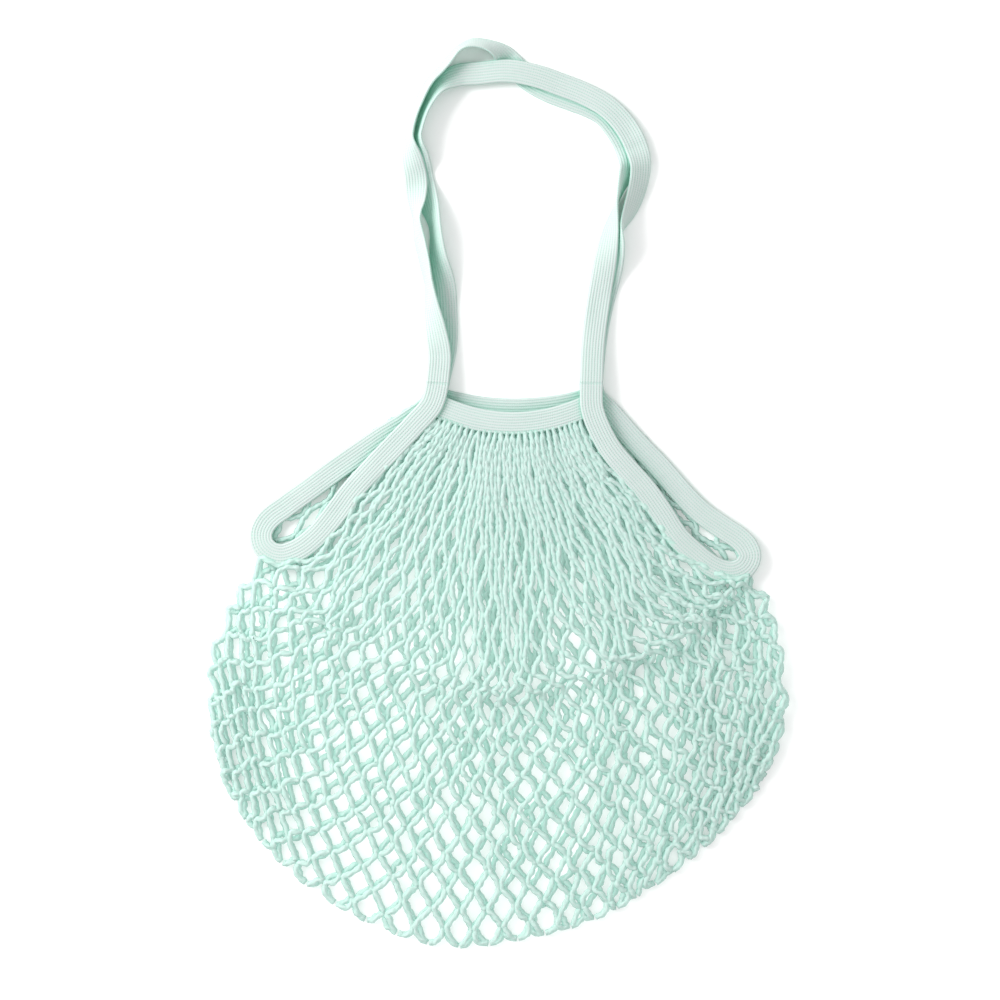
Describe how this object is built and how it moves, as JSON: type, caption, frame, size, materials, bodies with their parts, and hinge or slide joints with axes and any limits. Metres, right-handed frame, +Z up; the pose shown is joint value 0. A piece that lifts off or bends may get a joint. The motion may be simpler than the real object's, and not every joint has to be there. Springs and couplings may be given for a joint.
{
  "type": "string shopping bag",
  "caption": "Cotton net shopping bag lying flat, with knitted tape round its mouth and side openings that runs on into two long handles.",
  "frame": {"origin": "middle of the bag's box, on the surface that the bag lies on", "axes": "+X across the bag, +Y from its bottom towards the handles, +Z up from the surface"},
  "size_m": [0.402, 0.637, 0.017],
  "materials": {
    "net_cord": "soft mint-green cotton cord, matt and a little fuzzy",
    "knitted_tape": "pale mint-green knitted cotton tape with lengthwise ribs, matt"
  },
  "bodies": {
    "root": {"net_front": "net_cord", "net_back": "net_cord", "rim_front": "knitted_tape", "rim_back": "knitted_tape", "binding_left": "knitted_tape", "binding_right": "knitted_tape", "handle_front": "knitted_tape", "handle_back": "knitted_tape"}
  },
  "joints": []
}
